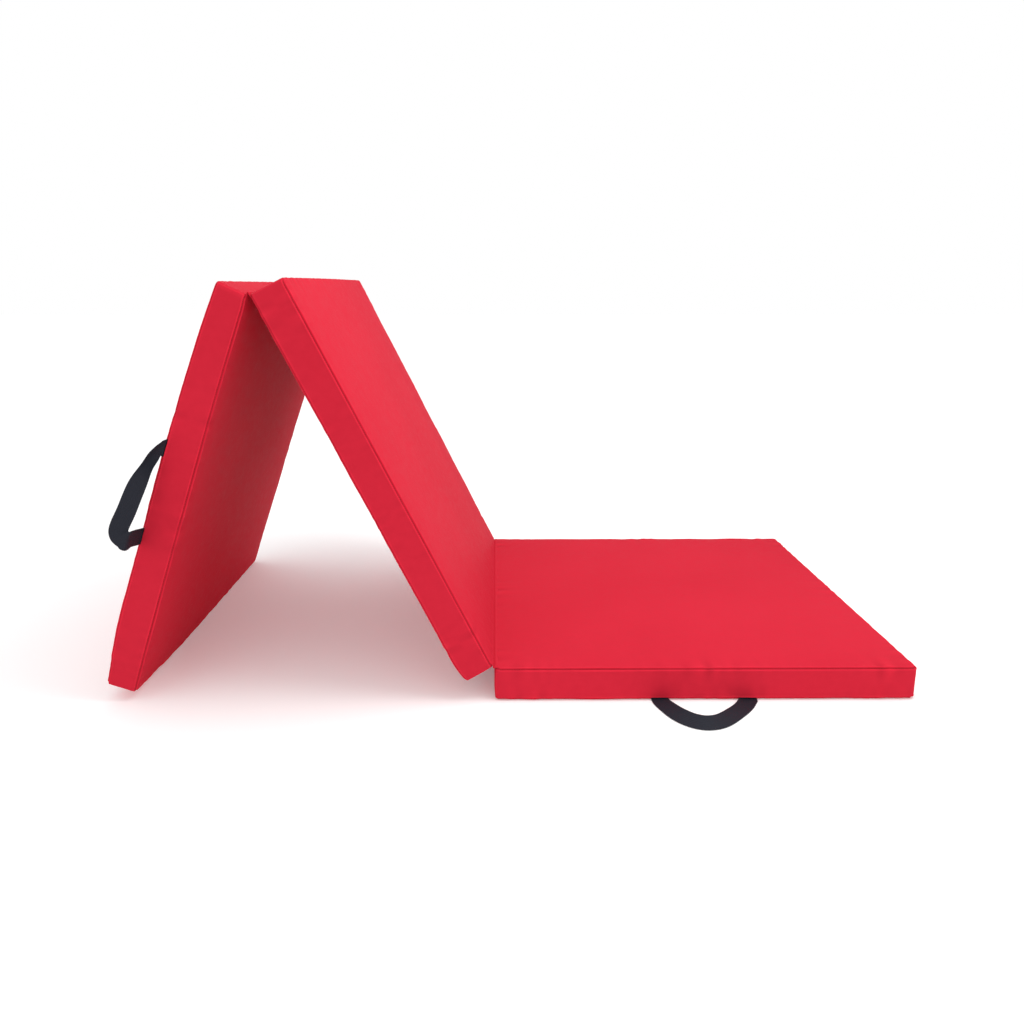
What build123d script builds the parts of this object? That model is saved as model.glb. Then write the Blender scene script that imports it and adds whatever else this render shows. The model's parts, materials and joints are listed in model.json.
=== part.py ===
"""Folding gym mat: three padded panels in a zigzag, joined by two sewn fold hinges.

Row frame: origin at the centre of the base panel's underside, on the floor.
+X runs along the mat, from the folded end towards the base panel's free end.
+Y runs across the mat, away from the side with the handles. +Z is up.

Every panel also has its own frame: origin at the centre of its underside, x along
the mat towards the base panel's free end, y across the mat, z through the thickness
from the underside to the top face. Base, middle and end panel are alike in it.
"""
from build123d import *
from math import asin, atan2, cos, degrees, hypot, radians, sin
import os

os.makedirs("parts", exist_ok=True)

# ---- driving dimensions, in millimetres and degrees --------------------------------
MAT_LENGTH = 1800.0
PANEL_WIDTH = 600.0
THICKNESS = 50.0
HINGE_GAP = 3.0          # between two panels laid flat
HINGE_RISE = 0.75        # the fold line lies this far outside the faces that it joins
CORNER_RADIUS = 8.0      # of a panel's outline, seen from above
SKIN = 0.8               # coated cover fabric
MIDDLE_ANGLE = 63.6      # middle panel above the horizontal
FOOT_CLEARANCE = 0.2     # under the end panel's lowest corner

# foam core
FOAM_CLEARANCE = 0.4     # to the top and bottom sheets
FOAM_NEAR_GAP = 2.5      # room for the webbing tails behind the near wall
FOAM_END_GAP = 2.0
FOAM_FAR_GAP = 4.5       # room for the inner half of the zip slider
FOAM_CORNER_RADIUS = 14.0
FOAM_EDGE_RADIUS = 9.0

# zip along the far wall
ZIP_OPENING = 14.0       # between the upper and the lower far wall
ZIP_HALF_LENGTH = 275.0
TAPE_WIDTH = 13.0
TAPE_THICKNESS = 0.8
TAPE_HALF_LENGTH = 283.0
ZIP_SLIT = 1.2           # parting line between the two halves of the chain
COIL_WIDTH = 2.4
COIL_HEIGHT = 1.8
STOP_LENGTH = 4.0
STOP_WIDTH = 7.0
STOP_HEIGHT = 2.0
SLIDER_LENGTH = 13.0
SLIDER_WIDTH = 9.6
SLIDER_PLATE = 1.2
SLIDER_CORNER_RADIUS = 2.0
SLIDER_CLEARANCE = 0.3
SLIDER_FLANGE = 1.2
SLIDER_FLANGE_LENGTH = 9.0
SLIDER_WEB = 0.5
SLIDER_WEB_LENGTH = 8.0
SLIDER_BOTTOM_PLATE = 1.5
STOP_CLEARANCE = 1.0     # between the parked slider and the stop
BRIDGE_LENGTH = 9.6
BRIDGE_WIDTH = 2.6
BRIDGE_POST = 1.2
BRIDGE_GAP = 2.2
BRIDGE_BAR = 0.9
BRIDGE_CORNER_RADIUS = 1.0
PULL_LENGTH = 27.0
PULL_WIDTH = 8.0
PULL_THICKNESS = 1.5
PULL_EYE_LENGTH = 6.0
PULL_EYE_WIDTH = 4.0
PULL_HOLE_RADIUS = 1.4
PULL_HOLE_INSET = 4.5     # from the tip of the pull
PULL_CORNER_RADIUS = 2.5

# seam threads, hidden inside the corners of the cover
THREAD = 0.5
THREAD_INSET = 1.2

# webbing handles
WEBBING_WIDTH = 25.0
WEBBING_THICKNESS = 1.8
ROOT_SPACING = 128.0     # between the middles of a handle's two ends
ROOT_GAP = 0.6           # from the near wall to the free webbing
TAIL_LENGTH = 14.0
TAIL_THICKNESS = 1.2
END_HANDLE_SHIFT = 7.0   # of the end panel's handle, towards the upper fold
END_HANDLE_LEAN = 22.0   # of the end panel's handle, outwards

# ---- worked out from them -----------------------------------------------------------
PANEL_LENGTH = (MAT_LENGTH - 2 * HINGE_GAP) / 3
HALF_LENGTH = PANEL_LENGTH / 2
HALF_WIDTH = PANEL_WIDTH / 2
MID_HEIGHT = THICKNESS / 2
WALL_HEIGHT = THICKNESS - 2 * SKIN
STRAIGHT_HALF_WIDTH = HALF_WIDTH - CORNER_RADIUS
FOLD_REACH = HINGE_GAP / 2 + PANEL_LENGTH


def turned(x, z, angle):
    """An offset in the XZ plane, turned about +Y by an angle in degrees."""
    c, s = cos(radians(angle)), sin(radians(angle))
    return Vector(x * c + z * s, 0, -x * s + z * c)


# The lower fold line lies above the top faces, the upper one below the undersides.
LOWER_FOLD = Vector(-HALF_LENGTH - HINGE_GAP / 2, 0, THICKNESS + HINGE_RISE)
UPPER_FOLD = LOWER_FOLD + turned(-FOLD_REACH - HINGE_GAP / 2, -THICKNESS - 2 * HINGE_RISE, MIDDLE_ANGLE)

# The end panel leans so that its inner lower corner just clears the floor.
FOOT_DISTANCE = hypot(FOLD_REACH, HINGE_RISE)
END_ANGLE = degrees(
    asin((UPPER_FOLD.Z - FOOT_CLEARANCE) / FOOT_DISTANCE) + atan2(HINGE_RISE, FOLD_REACH)
)


def panel_frame(fold, below, angle):
    """The frame of a panel that hangs on a fold line and is turned by an angle."""
    centre = fold + turned(-HINGE_GAP / 2 - HALF_LENGTH, -below, angle)
    return Plane(origin=centre, x_dir=turned(1, 0, angle), z_dir=turned(0, 1, angle))


BASE = Plane.XY
MIDDLE = panel_frame(LOWER_FOLD, THICKNESS + HINGE_RISE, MIDDLE_ANGLE)
END = panel_frame(UPPER_FOLD, -HINGE_RISE, -END_ANGLE)


def point_in(frame, x, y, z):
    """A point given in a panel's frame, in the row frame."""
    return frame.from_local_coords(Vector(x, y, z))


def direction_in(frame, x, y, z):
    """A direction given in a panel's frame, in the row frame."""
    return frame.x_dir * x + frame.y_dir * y + frame.z_dir * z


def finish(part, name):
    """Names a finished piece and writes it."""
    part.label = name
    export_step(part, f"parts/{name}.step")


# ---- cover and core -----------------------------------------------------------------
def make_sheet(frame, low, name):
    """Top or bottom sheet of the cover, with rounded corners."""
    with BuildPart() as sheet:
        with BuildSketch(frame.offset(low)):
            RectangleRounded(PANEL_LENGTH, PANEL_WIDTH, CORNER_RADIUS)
        extrude(amount=SKIN)
    finish(sheet.part, name)


def make_foam(frame, name):
    """Foam block with softened edges, clear of the webbing tails and of the zip."""
    width = PANEL_WIDTH - FOAM_NEAR_GAP - FOAM_FAR_GAP
    shift = (FOAM_NEAR_GAP - FOAM_FAR_GAP) / 2
    low = SKIN + FOAM_CLEARANCE
    with BuildPart() as foam:
        with BuildSketch(frame.offset(low)):
            with Locations((0, shift)):
                RectangleRounded(PANEL_LENGTH - 2 * FOAM_END_GAP, width, FOAM_CORNER_RADIUS)
        extrude(amount=THICKNESS - 2 * low)
        faces = foam.faces().sort_by(Axis(frame.origin, frame.z_dir))
        fillet(faces[0].edges() + faces[-1].edges(), FOAM_EDGE_RADIUS)
    finish(foam.part, name)


def draw_wall_band(side):
    """The plan of a long wall: straight, with a quarter turn at each end."""
    RectangleRounded(PANEL_LENGTH, PANEL_WIDTH, CORNER_RADIUS)
    RectangleRounded(
        PANEL_LENGTH - 2 * SKIN, PANEL_WIDTH - 2 * SKIN, CORNER_RADIUS - SKIN, mode=Mode.SUBTRACT
    )
    with Locations((0, side * (HALF_WIDTH - CORNER_RADIUS / 2))):
        Rectangle(PANEL_LENGTH, CORNER_RADIUS, mode=Mode.INTERSECT)


def make_near_wall(frame, name):
    """Long wall on the side with the handles."""
    with BuildPart() as wall:
        with BuildSketch(frame.offset(SKIN)):
            draw_wall_band(-1)
        extrude(amount=WALL_HEIGHT)
    finish(wall.part, name)


def make_far_wall(frame, low, high, name):
    """Upper or lower half of the long wall with the zip, notched along the opening."""
    with BuildPart() as wall:
        with BuildSketch(frame.offset(low)):
            draw_wall_band(1)
        extrude(amount=high - low)
        with BuildSketch(frame.offset(MID_HEIGHT)):
            with Locations((0, HALF_WIDTH)):
                Rectangle(2 * ZIP_HALF_LENGTH, CORNER_RADIUS)
        extrude(amount=ZIP_OPENING / 2, both=True, mode=Mode.SUBTRACT)
    finish(wall.part, name)


def make_end_wall(frame, side, name):
    """Short wall across one end of a panel."""
    with BuildPart() as wall:
        with BuildSketch(frame.offset(SKIN)):
            with Locations((side * (HALF_LENGTH - SKIN / 2), 0)):
                Rectangle(SKIN, 2 * STRAIGHT_HALF_WIDTH)
        extrude(amount=WALL_HEIGHT)
    finish(wall.part, name)


def make_seam_thread(frame, middle, name):
    """Thread of the seam that closes a sheet to the walls, inside the cover."""
    inset = SKIN + THREAD_INSET
    with BuildPart() as thread:
        with BuildSketch(frame.offset(middle - THREAD / 2)):
            RectangleRounded(
                PANEL_LENGTH - 2 * inset, PANEL_WIDTH - 2 * inset, CORNER_RADIUS - inset
            )
            offset(amount=-THREAD, mode=Mode.SUBTRACT)
        extrude(amount=THREAD)
    finish(thread.part, name)


# ---- zip ----------------------------------------------------------------------------
# Depths are y in the panel's frame. The tape lies against the inside of the wall, the
# coil lies on the tape, and the slider holds the coil between its two plates.
TAPE_OUTER = HALF_WIDTH - SKIN
TAPE_INNER = TAPE_OUTER - TAPE_THICKNESS
COIL_OUTER = TAPE_OUTER + COIL_HEIGHT
PLATE_INNER = COIL_OUTER + SLIDER_CLEARANCE
PLATE_OUTER = PLATE_INNER + SLIDER_PLATE
BOTTOM_PLATE_OUTER = TAPE_INNER - SLIDER_CLEARANCE
BOTTOM_PLATE_INNER = BOTTOM_PLATE_OUTER - SLIDER_BOTTOM_PLATE
PULL_AXIS_DEPTH = PLATE_OUTER + BRIDGE_GAP / 2
COIL_HALF_LENGTH = ZIP_HALF_LENGTH - STOP_LENGTH
PARKED = COIL_HALF_LENGTH - STOP_CLEARANCE - SLIDER_LENGTH / 2


def depth_plane(frame, x, depth):
    """Sketch plane on the far wall: x along the panel, y from top face to underside."""
    return Plane(
        origin=point_in(frame, x, depth, MID_HEIGHT),
        x_dir=frame.x_dir,
        z_dir=frame.y_dir,
    )


def make_zip_tapes(frame, name):
    """The two woven tapes, one on each side of the parting line."""
    with BuildPart() as tapes:
        with BuildSketch(depth_plane(frame, 0, TAPE_INNER)):
            with GridLocations(0, TAPE_WIDTH + ZIP_SLIT, 1, 2):
                Rectangle(2 * TAPE_HALF_LENGTH, TAPE_WIDTH)
        extrude(amount=TAPE_THICKNESS)
    finish(tapes.part, name)


def make_zip_coils(frame, name):
    """The two coil rows as smooth bars, one on each tape."""
    with BuildPart() as coils:
        with BuildSketch(depth_plane(frame, 0, TAPE_OUTER)):
            with GridLocations(0, COIL_WIDTH + ZIP_SLIT, 1, 2):
                Rectangle(2 * COIL_HALF_LENGTH, COIL_WIDTH)
        extrude(amount=COIL_HEIGHT)
    finish(coils.part, name)


def make_zip_stops(frame, name):
    """A moulded stop across each end of the chain."""
    with BuildPart() as stops:
        with BuildSketch(depth_plane(frame, 0, TAPE_OUTER)):
            with GridLocations(2 * ZIP_HALF_LENGTH - STOP_LENGTH, 0, 2, 1):
                Rectangle(STOP_LENGTH, STOP_WIDTH)
        extrude(amount=STOP_HEIGHT)
    finish(stops.part, name)


def make_zip_slider(frame, side, name):
    """Slider: two plates joined by a thin web in the parting line, side flanges, bridge."""
    x = side * PARKED
    with BuildPart() as slider:
        with BuildSketch(depth_plane(frame, x, PLATE_INNER)):
            RectangleRounded(SLIDER_LENGTH, SLIDER_WIDTH, SLIDER_CORNER_RADIUS)
        extrude(amount=SLIDER_PLATE)
        with BuildSketch(depth_plane(frame, x, TAPE_OUTER + SLIDER_CLEARANCE)):
            with GridLocations(0, SLIDER_WIDTH - SLIDER_FLANGE, 1, 2):
                Rectangle(SLIDER_FLANGE_LENGTH, SLIDER_FLANGE)
        extrude(amount=PLATE_INNER - TAPE_OUTER - SLIDER_CLEARANCE)
        with BuildSketch(depth_plane(frame, x, BOTTOM_PLATE_OUTER)):
            Rectangle(SLIDER_WEB_LENGTH, SLIDER_WEB)
        extrude(amount=PLATE_INNER - BOTTOM_PLATE_OUTER)
        with BuildSketch(depth_plane(frame, x, BOTTOM_PLATE_INNER)):
            RectangleRounded(SLIDER_LENGTH, SLIDER_WIDTH, SLIDER_CORNER_RADIUS)
        extrude(amount=SLIDER_BOTTOM_PLATE)
        with BuildSketch(depth_plane(frame, x, PLATE_OUTER)):
            with GridLocations(BRIDGE_LENGTH - BRIDGE_POST, 0, 2, 1):
                Rectangle(BRIDGE_POST, BRIDGE_WIDTH)
        extrude(amount=BRIDGE_GAP)
        with BuildSketch(depth_plane(frame, x, PLATE_OUTER + BRIDGE_GAP)):
            RectangleRounded(BRIDGE_LENGTH, BRIDGE_WIDTH, BRIDGE_CORNER_RADIUS)
        extrude(amount=BRIDGE_BAR)
    finish(slider.part, name)


def make_zip_pull(frame, side, name):
    """Pull: a flat tab with an eye round the bridge and a round bar under it."""
    axis_plane = Plane(
        origin=point_in(frame, side * PARKED, PULL_AXIS_DEPTH, MID_HEIGHT),
        x_dir=frame.x_dir * side,
        z_dir=frame.y_dir,
    )
    bar_reach = (PULL_EYE_WIDTH + PULL_WIDTH) / 2
    with BuildPart() as pull:
        with BuildSketch(axis_plane.offset(-PULL_THICKNESS / 2)):
            with Locations((PULL_LENGTH / 2, 0)):
                RectangleRounded(PULL_LENGTH, PULL_WIDTH, PULL_CORNER_RADIUS)
            with Locations((PULL_EYE_LENGTH / 2, 0)):
                Rectangle(PULL_EYE_LENGTH, PULL_EYE_WIDTH, mode=Mode.SUBTRACT)
            with Locations((-PULL_EYE_LENGTH / 2, 0)):
                Rectangle(PULL_EYE_LENGTH, PULL_WIDTH, mode=Mode.SUBTRACT)
            with Locations((PULL_LENGTH - PULL_HOLE_INSET, 0)):
                Circle(PULL_HOLE_RADIUS, mode=Mode.SUBTRACT)
        extrude(amount=PULL_THICKNESS)
        bar_plane = Plane(
            origin=axis_plane.origin - axis_plane.y_dir * bar_reach / 2,
            x_dir=axis_plane.x_dir,
            z_dir=axis_plane.y_dir,
        )
        with BuildSketch(bar_plane):
            Circle(PULL_THICKNESS / 2)
        extrude(amount=bar_reach)
    finish(pull.part, name)


def make_panel(frame, prefix, zip_side):
    """All the pieces of one panel; its zip is closed towards x of the sign zip_side."""
    make_sheet(frame, 0, f"{prefix}_bottom_sheet")
    make_sheet(frame, THICKNESS - SKIN, f"{prefix}_top_sheet")
    make_foam(frame, f"{prefix}_foam_core")
    make_near_wall(frame, f"{prefix}_near_wall")
    make_far_wall(frame, SKIN, MID_HEIGHT, f"{prefix}_far_wall_lower")
    make_far_wall(frame, MID_HEIGHT, THICKNESS - SKIN, f"{prefix}_far_wall_upper")
    make_end_wall(frame, 1, f"{prefix}_right_end_wall")
    make_end_wall(frame, -1, f"{prefix}_left_end_wall")
    make_seam_thread(frame, THREAD_INSET, f"{prefix}_bottom_seam_thread")
    make_seam_thread(frame, THICKNESS - THREAD_INSET, f"{prefix}_top_seam_thread")
    make_zip_tapes(frame, f"{prefix}_zip_tapes")
    make_zip_coils(frame, f"{prefix}_zip_coils")
    make_zip_stops(frame, f"{prefix}_zip_stops")
    make_zip_slider(frame, zip_side, f"{prefix}_zip_slider")
    make_zip_pull(frame, zip_side, f"{prefix}_zip_pull")


# ---- fold hinges --------------------------------------------------------------------
def make_fold_strip(corners, name):
    """Strip of cover fabric that bridges a fold, straight between two wall edges."""
    with BuildPart() as strip:
        with BuildSketch(Plane.XZ):
            with BuildLine():
                Polyline(*[(corner.X, corner.Z) for corner in corners], close=True)
            make_face()
        extrude(amount=STRAIGHT_HALF_WIDTH, both=True)
    finish(strip.part, name)


def make_fold_strips():
    """The two fold strips, each between the outer edges of the sheets that it joins."""
    skin_line = THICKNESS - SKIN
    make_fold_strip(
        [
            point_in(BASE, -HALF_LENGTH, 0, THICKNESS),
            point_in(MIDDLE, HALF_LENGTH, 0, THICKNESS),
            point_in(MIDDLE, HALF_LENGTH, 0, skin_line),
            point_in(BASE, -HALF_LENGTH, 0, skin_line),
        ],
        "lower_fold_strip",
    )
    make_fold_strip(
        [
            point_in(MIDDLE, -HALF_LENGTH, 0, 0),
            point_in(END, HALF_LENGTH, 0, 0),
            point_in(END, HALF_LENGTH, 0, SKIN),
            point_in(MIDDLE, -HALF_LENGTH, 0, SKIN),
        ],
        "upper_fold_strip",
    )


# ---- handles ------------------------------------------------------------------------
# The middle line of each free loop: x along the seam, and the reach out from the wall.
ROOT = ROOT_SPACING / 2
ROOT_SKEW = 4.0          # the loop leaves the wall this much off square
BASE_LOOP = [(-ROOT, 0), (-ROOT + ROOT_SKEW, -34), (-30, -67), (4, -71), (40, -34), (ROOT, 0)]
BASE_LOOP_RADII = [36, 30, 30, 60]
END_LOOP = [(-ROOT, 0), (-ROOT - ROOT_SKEW, -42), (6, -38), (46, -26), (ROOT, 0)]
END_LOOP_RADII = [15, 60, 26]


def make_loop(plane, points, radii, name):
    """Free loop of a handle: flat webbing that follows a smooth line in its plane."""
    with BuildPart() as loop:
        with BuildSketch(plane.offset(-WEBBING_THICKNESS / 2)):
            with BuildLine():
                FilletPolyline(*points, radius=radii)
            trace(line_width=WEBBING_WIDTH)
            with Locations((0, WEBBING_WIDTH)):
                Rectangle(PANEL_LENGTH, 2 * WEBBING_WIDTH, mode=Mode.SUBTRACT)
        extrude(amount=WEBBING_THICKNESS)
    finish(loop.part, name)


def make_tails(frame, shift, low, name):
    """The two ends of a handle's webbing, sewn in behind the near wall."""
    with BuildPart() as tails:
        with BuildSketch(frame.offset(low)):
            with Locations((shift, -HALF_WIDTH + SKIN + TAIL_THICKNESS / 2)):
                with GridLocations(ROOT_SPACING, 0, 2, 1):
                    Rectangle(WEBBING_WIDTH, TAIL_THICKNESS)
        extrude(amount=TAIL_LENGTH)
    finish(tails.part, name)


def loop_plane(frame, shift, height, lean):
    """Plane of a handle's loop: x along the seam, y into the mat, through the seam."""
    out = cos(radians(lean))
    up = sin(radians(lean))
    return Plane(
        origin=point_in(frame, shift, -HALF_WIDTH - ROOT_GAP, height),
        x_dir=frame.x_dir,
        z_dir=direction_in(frame, 0, up, out),
    )


make_panel(BASE, "base", 1)
make_panel(MIDDLE, "middle", 1)
make_panel(END, "end", -1)
make_fold_strips()
make_loop(
    loop_plane(BASE, 0, WEBBING_THICKNESS / 2 + FOOT_CLEARANCE, 0),
    BASE_LOOP,
    BASE_LOOP_RADII,
    "base_handle_loop",
)
make_loop(
    loop_plane(END, END_HANDLE_SHIFT, THICKNESS - WEBBING_THICKNESS / 2, END_HANDLE_LEAN),
    END_LOOP,
    END_LOOP_RADII,
    "end_handle_loop",
)
make_tails(BASE, 0, SKIN, "base_handle_tails")
make_tails(END, END_HANDLE_SHIFT, THICKNESS - SKIN - TAIL_LENGTH, "end_handle_tails")
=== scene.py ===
"""Looks of the folding gym mat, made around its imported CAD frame.

Everything is in metres, in the frame's own axes: +X along the mat, +Y away from the
handles, +Z up. Each panel also has local axes: x along the panel, y across it, and z
from its underside to its top face, with z = 0 at mid-height.
"""

import json
from math import cos, pi, radians, sin

import bmesh
import bpy
import numpy as np
from mathutils import Matrix, Vector
from mathutils.bvhtree import BVHTree

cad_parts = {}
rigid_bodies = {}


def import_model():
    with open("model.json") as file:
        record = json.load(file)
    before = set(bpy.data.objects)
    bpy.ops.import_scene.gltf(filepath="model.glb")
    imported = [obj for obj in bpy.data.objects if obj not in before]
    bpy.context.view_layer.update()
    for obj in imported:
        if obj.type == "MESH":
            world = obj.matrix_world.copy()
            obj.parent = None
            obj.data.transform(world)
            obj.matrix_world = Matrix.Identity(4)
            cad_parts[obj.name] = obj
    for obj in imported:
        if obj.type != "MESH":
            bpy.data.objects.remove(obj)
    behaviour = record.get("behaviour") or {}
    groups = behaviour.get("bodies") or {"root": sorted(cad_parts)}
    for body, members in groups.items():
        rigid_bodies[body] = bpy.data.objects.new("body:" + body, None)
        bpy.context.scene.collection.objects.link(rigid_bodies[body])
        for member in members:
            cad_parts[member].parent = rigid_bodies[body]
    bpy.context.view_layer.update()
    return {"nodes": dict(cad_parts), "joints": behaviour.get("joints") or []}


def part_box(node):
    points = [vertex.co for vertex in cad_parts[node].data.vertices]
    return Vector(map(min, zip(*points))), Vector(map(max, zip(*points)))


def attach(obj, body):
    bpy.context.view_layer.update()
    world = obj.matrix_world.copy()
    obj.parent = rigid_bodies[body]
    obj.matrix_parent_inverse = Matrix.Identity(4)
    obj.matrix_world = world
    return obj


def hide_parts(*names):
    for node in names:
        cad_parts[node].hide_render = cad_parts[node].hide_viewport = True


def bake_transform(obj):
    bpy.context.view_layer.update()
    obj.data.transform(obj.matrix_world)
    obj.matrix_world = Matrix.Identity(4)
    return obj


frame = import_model()

# ---- sizes and places ---------------------------------------------------------------
TOUCHING = 1e-6              # points closer than this are in one place

# cover
CORNER_RADIUS = 0.008        # of a panel's outline
EDGE_RADIUS = 0.0055         # of the sewn edges
FREE_EDGE_RADIUS = 0.005     # of the edges across a panel's free end
FOLD_EDGE_RADIUS = 0.0025    # of the edge that a fold strip joins
EDGE_DROP = 0.0013           # the sewn edges lie this much below the face
FOLD_EDGE_DROP = 0.0004
EDGE_DROP_REACH = 0.03       # the drop fades out over this much of the face
CROWN = 0.0019               # most that the blown-up faces rise above the edges
WALL_CROWN = 0.0009
FINE_INSETS = (0, 0.0007, 0.0014, 0.0021, 0.0028, 0.0036, 0.0046, 0.006, 0.008, 0.011)
GRID_STEP = 0.005
WEAVE_PITCH = 0.0012

# seams along the edges
RIDGE_HEIGHT = 0.0009
RIDGE_OFFSET = 0.0023        # from the groove to the ridge at each side of it
RIDGE_WIDTH = 0.0010
GROOVE_DEPTH = 0.0015
GROOVE_WIDTH = 0.0009
PUCKER_HEIGHT = 0.0003
PUCKER_REACH = 0.014
PUCKER_FADE = 0.03           # puckers die out this far before a corner
PUCKER_WAVES = (0.013, 0.045, 9)    # shortest and longest wave, and how many are summed
PATCH_WAVES = (0.15, 0.4, 4)        # along these, the puckers grow and fade
RIDGE_WAVES = (0.07, 0.25, 5)
RIDGE_CHANGE = 0.35          # share by which the ridge's height follows its waves
UPRIGHT_SHARE = 0.7          # height of the corners' upright seams, of the ridge's
UPRIGHT_FADE = 0.006         # they fade over this much next to the sewn edges

# cloth simulation
SIM_STEP = 0.012
SIM_LAYERS = 6               # rows of points up the walls
SIM_FRAMES = 20
SIM_QUALITY = 5
SIM_JITTER = 0.0002          # the cloth's points start about this far off, at random
FIRST_SEED = 11
PRESSURE = 4.0
SLACK = 0.010                # the cover is cut this much larger than the foam
SOFT_SCALE = 0.016           # rise at which the foam starts to hold the cover back

# shape of the panels in use
END_BOW = 0.0010             # the end panel's near side bends outwards
END_TAPER = 0.0085           # the end panel's outer side slopes in by this much at its top
END_TAPER_REACH = 0.24
END_LEAN = 0.0018            # its inner side leans the same way
END_LEAN_FADE = 0.02         # but not at the fold, where it hangs from the strip
END_RISE = 0.0045            # and its upper end wall stands up at the outer edge
END_RISE_REACH = 0.05
TOE_LIFT = 0.0125            # the end panel's near lower corner is turned up
TOE_REACH = (0.06, 0.12)
TOE_TUCK = 0.5               # share of the lift by which the corner's outer side draws in
APEX_SWELL = 0.0010          # the middle panel's upper end swells
APEX_REACH = 0.03
HEEL_REACH = 0.030           # the middle panel's lower end bulges, most at its underside
HEEL_BULGE = 0.0052
TOE_BULGE = 0.0014           # the base panel's end bulges towards it

# zip along the far wall
ZIP_HALF_LENGTH = 0.275
ZIP_HALF_OPENING = 0.007
ZIP_DEPTH = 0.0022
ZIP_SLOPE = 0.0006           # width of the slot's side
ZIP_LIP = 0.0006             # the fabric stands proud along the opening
ZIP_LIP_OFFSET = 0.0018
ZIP_LIP_WIDTH = 0.0016
ZIP_WALL_MARGIN = 0.004      # the slot keeps this far from the sewn edges
ZIP_TAPE_RIBS = 0.0011       # pitch
COIL_PITCH = 0.0017
COIL_WIRE = 0.00034
COIL_SIDES = 5
COIL_STEPS = 9
COIL_OFFSET = 0.0016         # of each coil's middle, from the parting line
COIL_HALF_WIDTH = 0.0017
COIL_HALF_HEIGHT = 0.00056
COIL_LIFT = 0.0001           # of the coils' middle, above the wall
COIL_END = 0.0042            # the coils end this far before the opening does
ZIP_STITCH_OFFSET = 0.0095   # from the zip's middle line

# stitches
STITCH_PITCH = 0.0034
STITCH_LENGTH = 0.0026
STITCH_RADIUS = 0.00026
STITCH_SINK = 0.00012        # the ends of a stitch dip this much into the fabric
STITCH_LIFT = 0.6            # of a stitch's middle, as a share of its radius

# rounding of the zip's small CAD parts
FLAT_ANGLE = radians(3)      # facets that meet within this are one face
SHARP_ANGLE = radians(30)    # edges sharper than this are rounded

# foam core
FOAM_GAP = (0.004, 0.0045, 0.0032)
FOAM_CORNER_RADIUS = 0.014
FOAM_EDGE_RADIUS = 0.010
FOAM_STEP = 0.025
FOAM_INSETS = (0, 0.002, 0.004, 0.007, 0.010, 0.016)

# fold strips
STRIP_THICKNESS = 0.0007
STRIP_OVERLAP = 0.0045       # of the strip, under the face of each cover
STRIP_END = 0.0025           # the strip ends this far inside the panel's sides
STRIP_SINK = 0.0022          # of the crease, below the fold line
STRIP_INSET = 0.0006         # where the strip meets a cover's edge
STRIP_TUCK = 0.0010          # how deep its ends lie under the faces
STRIP_STEP = 0.006
STRIP_POINTS = 33

# webbing
WEBBING_WIDTH = 0.025
WEBBING_THICKNESS = 0.0017
WEBBING_RIBS = 9
WEBBING_RIB_HEIGHT = 0.00012
WEBBING_ACROSS = 37          # points across the strap, on each face
WEBBING_STEP = 0.0016
WEBBING_SAMPLES = 400
YARN_PITCH = 0.0016
YARN_SLANT = 1.6
TAIL_BEND = 0.002
TAIL_LENGTH = 0.011
TAIL_INSET = 0.001
TAIL_STEPS = 8

# studio
FLOOR_SIZE = 30
FLOOR_GLOW = 0.15            # lifts the shadows on the studio floor
LIGHTS = (                   # name, place, target, size and power
    ("key", (0.15, -0.3, 1.25), (-0.2, 0, 0.4), 0.6, 7.2),
    ("fill", (-1.2, -3.0, 1.6), (-0.4, 0, 0.2), 2.4, 4),
)

# camera
CAMERA_PLACE = (-0.2981, -1.3557, 0.5765)
CAMERA_PITCH = 12.18
CAMERA_YAW = 0.38
CAMERA_LENS = 28.56
CAMERA_SENSOR = 36
CAMERA_SHIFT = (0.0108, -0.0500)


# ---- frame ---------------------------------------------------------------------------
def middle_of(node):
    """Centre of a CAD node's box."""
    low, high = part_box(node)
    return (low + high) / 2


SHEET_LOW, SHEET_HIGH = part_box("base_top_sheet")
HALF_LENGTH = (SHEET_HIGH.x - SHEET_LOW.x) / 2
HALF_WIDTH = (SHEET_HIGH.y - SHEET_LOW.y) / 2
HALF_THICKNESS = SHEET_HIGH.z / 2
HALF = np.array((HALF_LENGTH, HALF_WIDTH, HALF_THICKNESS))


def panel_place(name):
    """Matrix from a panel's local axes to the frame's, read from its two sheets."""
    top = middle_of(f"{name}_top_sheet")
    bottom = middle_of(f"{name}_bottom_sheet")
    up = (top - bottom).normalized()
    across = Vector((0, 1, 0))
    along = across.cross(up)
    place = Matrix((along, across, up)).transposed().to_4x4()
    place.translation = (top + bottom) / 2
    return place


PLACES = {name: panel_place(name) for name in ("base", "middle", "end")}
# Which end of a panel has a fold: -1 is its left end, 1 its right end.
FOLD_ENDS = {"base": (-1,), "middle": (-1, 1), "end": (1,)}


# ---- node helpers --------------------------------------------------------------------
def new_material(name):
    """An empty material with a Principled shader; returns it, its node tree and the shader."""
    material = bpy.data.materials.new(name)
    material.use_nodes = True
    tree = material.node_tree
    shader = tree.nodes["Principled BSDF"]
    return material, tree, shader


def add(tree, kind, **values):
    """A node of the kind, with its input sockets set or linked by name."""
    node = tree.nodes.new(kind)
    for key, value in values.items():
        name = key.replace("_", " ")
        if name in node.inputs:
            feed(tree, node.inputs[name], value)
        else:
            setattr(node, key, value)
    return node


def feed(tree, socket, value):
    """Links a socket to an output, or sets it to a plain value."""
    if isinstance(value, bpy.types.NodeSocket):
        tree.links.new(value, socket)
    else:
        socket.default_value = value


def combine(tree, operation, a, b, c=None):
    """A Math node's result."""
    node = tree.nodes.new("ShaderNodeMath")
    node.operation = operation
    for socket, value in zip(node.inputs, (a, b, c)):
        if value is not None:
            feed(tree, socket, value)
    return node.outputs[0]


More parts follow.
